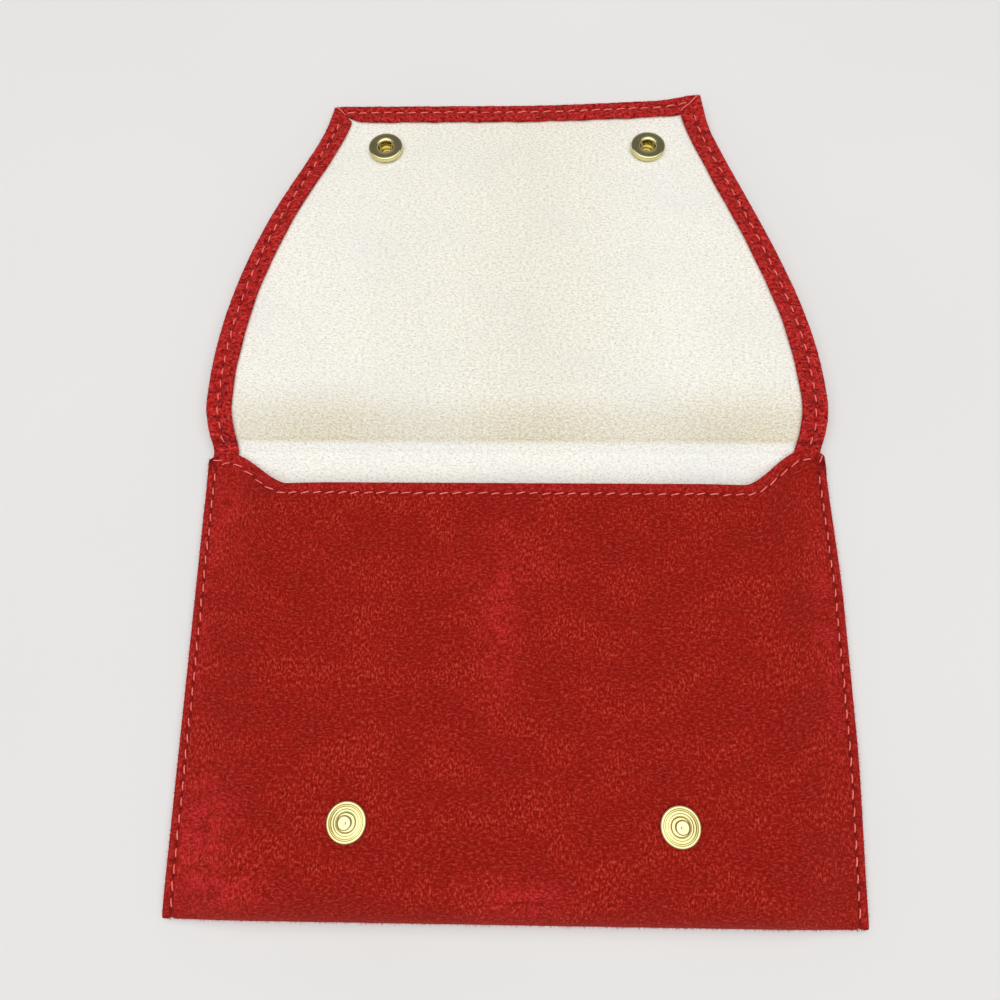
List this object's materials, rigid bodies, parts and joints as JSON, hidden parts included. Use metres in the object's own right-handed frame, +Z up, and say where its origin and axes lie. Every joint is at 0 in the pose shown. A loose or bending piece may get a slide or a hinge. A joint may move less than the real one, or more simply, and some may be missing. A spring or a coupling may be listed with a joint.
{
  "type": "jewelry pouch",
  "caption": "Flat suede envelope pouch for jewellery, lined in ivory microsuede, with a turned and stitched flap that folds over the front and closes with brass snaps.",
  "frame": {"origin": "centre of the opened pouch's footprint, on the plane that it lies on", "axes": "+X across the pouch to the right, +Y from the pocket's bottom fold to the flap's tip, +Z up out of the pocket's front"},
  "size_m": [0.167, 0.2258, 0.0114],
  "materials": {
    "suede": "short nap, matt, red",
    "lining": "ivory microsuede, matt",
    "snap_metal": "polished pale gold",
    "spring_wire": "bright wire"
  },
  "bodies": {
    "pocket": {"pocket_suede": "suede", "pocket_lining": "lining", "stud_left": "snap_metal", "stud_right": "snap_metal", "stud_rivet_left": "snap_metal", "stud_rivet_right": "snap_metal"},
    "fold": {"fold_suede": "suede", "fold_lining": "lining"},
    "flap": {"flap_suede": "suede", "flap_lining": "lining", "cap_left": "snap_metal", "cap_right": "snap_metal", "socket_left": "snap_metal", "socket_right": "snap_metal", "socket_spring_left": "spring_wire", "socket_spring_right": "spring_wire"}
  },
  "joints": [
    {"name": "crease", "type": "hinge", "parent": "pocket", "child": "fold", "pos_m": [0, 0.00181, 0.00245], "axis": [1, 0, 0], "range_deg": [0, 134.76]},
    {"name": "bend", "type": "hinge", "parent": "fold", "child": "flap", "pos_m": [0, 0.01369, 0.00458], "axis": [1, 0, 0], "range_deg": [0, 45.24]}
  ],
  "couplings": [
    {"joint": "bend", "follows": "crease", "ratio": 0.33568}
  ]
}
